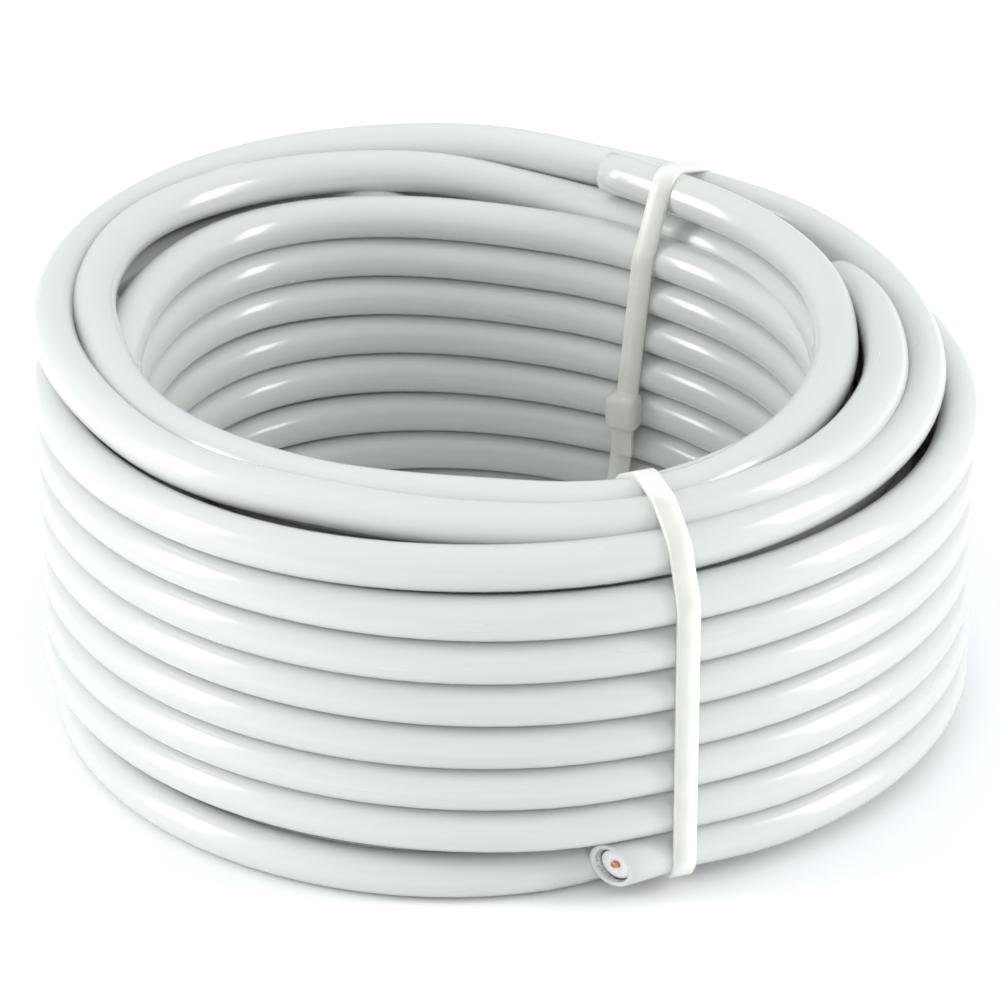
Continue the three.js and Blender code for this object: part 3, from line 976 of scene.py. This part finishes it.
def head_shape(bm):
    """The tie's head: a block with well rounded corners."""
    made = bmesh.ops.create_cube(bm, size=1.0)
    bmesh.ops.scale(bm, vec=(HEAD_DEPTH, HEAD_BREADTH, HEAD_LENGTH), verts=made["verts"])
    bmesh.ops.bevel(
        bm, geom=list(bm.edges), offset=HEAD_DEPTH * HEAD_ROUNDING, segments=5, affect="EDGES", profile=0.5)


def tie_head(name, centre, radial, axis_up, width, thickness):
    """Head and trimmed tail. radial points out of the bore's wall, into the turns."""
    bm = bmesh.new()
    head_shape(bm)
    side = axis_up.cross(radial).normalized()
    basis = Matrix((radial, side, axis_up)).transposed().to_4x4()
    tail = bmesh.ops.create_cube(bm, size=1.0)
    bmesh.ops.scale(bm, vec=(thickness, width, TAIL_LENGTH), verts=tail["verts"])
    below = (-HEAD_DEPTH * TAIL_SINK_SHARE, 0, -HEAD_LENGTH / 2 - TAIL_DROP)
    bmesh.ops.translate(bm, vec=below, verts=tail["verts"])
    bm.transform(Matrix.Translation(centre) @ basis)
    bmesh.ops.recalc_face_normals(bm, faces=bm.faces)
    mesh = bpy.data.meshes.new(name)
    bm.to_mesh(mesh)
    bm.free()
    piece = bpy.data.objects.new(name, mesh)
    bpy.context.scene.collection.objects.link(piece)
    return piece


class TiePlace:
    """Where one tie lies: its azimuth, how far it slants down the bore's wall and the height of its head."""

    def __init__(self, node, azimuth, slant, head_share):
        self.node = node
        self.azimuth = azimuth
        self.slant = slant
        self.head_share = head_share


def build_tie(context, place, material):
    cable, ties = context.scene.coil_cable, context.scene.coil_ties
    points = cable_route(context)
    axis_y = coil_axis_y()
    spots = section_at(points, place.azimuth, axis_y)
    line = even_line(pulled_round(spots, cable.diameter / 2 - STRAP_BITE), STRAP_STEP)
    top, bottom = line[:, 1].max(), line[:, 1].min()
    middle = (line[:, 0].max() + line[:, 0].min()) / 2
    inward = np.clip((middle - line[:, 0]) / (middle - line[:, 0].min()), 0, 1)
    lowness = (top - line[:, 1]) / (top - bottom)
    azimuths = place.azimuth + place.slant * inward * lowness
    strap = strap_mesh(place.node + "_strap", line, azimuths, axis_y, ties.width, ties.thickness)
    height = bottom + (top - bottom) * place.head_share
    wall = line[:, 0].min() - HEAD_FROM_WALL
    a = math.radians(place.azimuth + place.slant * (1 - place.head_share))
    radial = Vector((math.cos(a), math.sin(a), 0))
    centre = radial * wall + Vector((0, axis_y, height))
    upright = Vector((0, 0, 1))
    head = tie_head(place.node + "_head", centre, radial, upright, ties.width, ties.thickness)
    placed(strap, material, place.node)
    placed(head, material)


class COIL_OT_ties(bpy.types.Operator):
    """Pull the two nylon ties round all the turns"""
    bl_idname = "coil.pull_ties"
    bl_label = "Pull ties"

    def execute(self, context):
        ties = context.scene.coil_ties
        material = nylon_material(tuple(ties.colour))
        build_tie(context, TiePlace("tie_front", ties.front_azimuth, -4, 0.45), material)
        build_tie(context, TiePlace("tie_back", ties.back_azimuth, 7, 0.365), material)
        return {"FINISHED"}


def add_floor(studio):
    bm = bmesh.new()
    bmesh.ops.create_grid(bm, x_segments=8, y_segments=8, size=FLOOR_HALF)
    mesh = bpy.data.meshes.new("floor")
    bm.to_mesh(mesh)
    bm.free()
    floor = bpy.data.objects.new("floor", mesh)
    floor.location.z = CAD_BOX[0][2] - FLOOR_DROP
    bpy.context.scene.collection.objects.link(floor)
    floor.data.materials.append(floor_material(tuple(studio.floor_colour)))


def add_softbox(name, place, size, power):
    light = bpy.data.lights.new(name, "AREA")
    light.shape = "RECTANGLE"
    light.size, light.size_y = size
    light.energy = power
    lamp = bpy.data.objects.new(name, light)
    lamp.location = place
    lamp.rotation_euler = (Vector(LIGHT_AIM) - Vector(place)).to_track_quat("-Z", "Y").to_euler()
    bpy.context.scene.collection.objects.link(lamp)


def add_camera(studio, axis_y):
    camera = bpy.data.cameras.new("camera")
    camera.sensor_width = 36
    camera.lens = studio.camera_lens
    camera.clip_end = 20
    holder = bpy.data.objects.new("camera", camera)
    elevation = math.radians(studio.camera_elevation)
    back = Vector((0, -math.cos(elevation), math.sin(elevation)))
    aim = Vector((studio.camera_aim_x, axis_y, studio.camera_aim_z))
    holder.location = aim + back * studio.camera_distance
    holder.rotation_euler = (math.pi / 2 - elevation, 0, 0)
    bpy.context.scene.collection.objects.link(holder)
    bpy.context.scene.camera = holder


def add_daylight():
    """A white room, a little dimmer near the floor than overhead."""
    world = bpy.data.worlds.new("soft_white_room")
    world.use_nodes = True
    nodes, links = world.node_tree.nodes, world.node_tree.links
    split = nodes.new("ShaderNodeSeparateXYZ")
    links.new(nodes.new("ShaderNodeTexCoord").outputs["Generated"], split.inputs[0])
    ramp = nodes.new("ShaderNodeValToRGB")
    low, high = ramp.color_ramp.elements
    low.position, low.color = 0.0, (*ROOM_LOW, 1)
    high.position, high.color = ROOM_TOP, (*ROOM_HIGH, 1)
    links.new(split.outputs["Z"], ramp.inputs["Fac"])
    links.new(ramp.outputs["Color"], nodes["Background"].inputs["Color"])
    bpy.context.scene.world = world


class COIL_OT_studio(bpy.types.Operator):
    """Set up the pale floor, the soft lights and the camera"""
    bl_idname = "coil.set_studio"
    bl_label = "Set up studio"

    def execute(self, context):
        studio = context.scene.coil_studio
        axis_y = coil_axis_y()
        add_floor(studio)
        add_daylight()
        for name, out, power in (
            ("softbox_left", -SOFTBOX_OUT, LEFT_POWER),
            ("softbox_right", SOFTBOX_OUT, RIGHT_POWER),
        ):
            add_softbox(name, (out, SOFTBOX_FRONT, SOFTBOX_HEIGHT), SOFTBOX_SIZE, power)
        add_camera(studio, axis_y)
        context.scene.view_settings.view_transform = "Standard"
        return {"FINISHED"}


class COIL_PT_panel(bpy.types.Panel):
    """Sizes, colours and steps of the cable coil"""
    bl_idname = "COIL_PT_panel"
    bl_label = "Coaxial Cable Coil"
    bl_space_type = "VIEW_3D"
    bl_region_type = "UI"
    bl_category = "Cable Coil"

    def draw(self, context):
        layout = self.layout
        for heading, group in GROUPS_SHOWN:
            box = layout.box()
            box.label(text=heading)
            settings = getattr(context.scene, group)
            for name in settings.bl_rna.properties.keys():
                if name not in ("rna_type", "name"):
                    box.prop(settings, name)
        for operator in STEPS:
            layout.operator(operator)


GROUPS_SHOWN = (
    ("Cable", "coil_cable"),
    ("Winding", "coil_winding"),
    ("Ties", "coil_ties"),
    ("Studio", "coil_studio"),
)
STEPS = ("coil.set_studio", "coil.wind_cable", "coil.cut_ends", "coil.pull_ties")
SETTINGS = (
    ("coil_cable", CableSizes),
    ("coil_winding", WindingSizes),
    ("coil_ties", TieSizes),
    ("coil_studio", StudioSettings),
)
CLASSES = (
    CableSizes, WindingSizes, TieSizes, StudioSettings,
    COIL_OT_cable, COIL_OT_cut_ends, COIL_OT_ties, COIL_OT_studio, COIL_PT_panel,
)


def register():
    for cls in CLASSES:
        bpy.utils.register_class(cls)
    for name, group in SETTINGS:
        setattr(bpy.types.Scene, name, PointerProperty(type=group))


def unregister():
    for name, _ in SETTINGS:
        delattr(bpy.types.Scene, name)
    for cls in reversed(CLASSES):
        bpy.utils.unregister_class(cls)


def main():
    register()
    bpy.ops.coil.set_studio()
    bpy.ops.coil.wind_cable()
    bpy.ops.coil.cut_ends()
    bpy.ops.coil.pull_ties()


if __name__ == "__main__":
    main()
